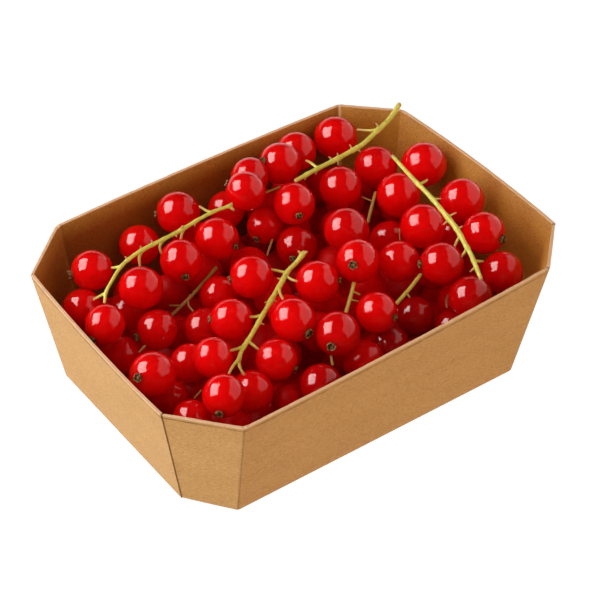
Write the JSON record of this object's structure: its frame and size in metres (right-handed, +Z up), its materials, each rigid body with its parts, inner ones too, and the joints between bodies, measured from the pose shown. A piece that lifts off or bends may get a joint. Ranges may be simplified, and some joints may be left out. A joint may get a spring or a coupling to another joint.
{
  "type": "punnet of redcurrants",
  "caption": "Folded kraft card punnet with cut corners and leaning walls, filled to the rim with a heap of redcurrants on their stalks.",
  "frame": {"origin": "middle of the flat base, on the surface it stands on", "axes": "+X along the long side, +Y away from the front wall, +Z up out of the open top"},
  "size_m": [0.11, 0.082, 0.0382],
  "materials": {
    "card": "unbleached kraft card, matt, fine fibres",
    "currants": "thin glossy translucent berry skin",
    "stalk": "fresh green-yellow plant stem, slightly waxy"
  },
  "bodies": {
    "root": {"punnet": "card", "currant_heap": "currants", "stalk_left": "stalk", "stalk_back": "stalk", "stalk_right": "stalk", "stalk_front": "stalk"}
  },
  "joints": []
}
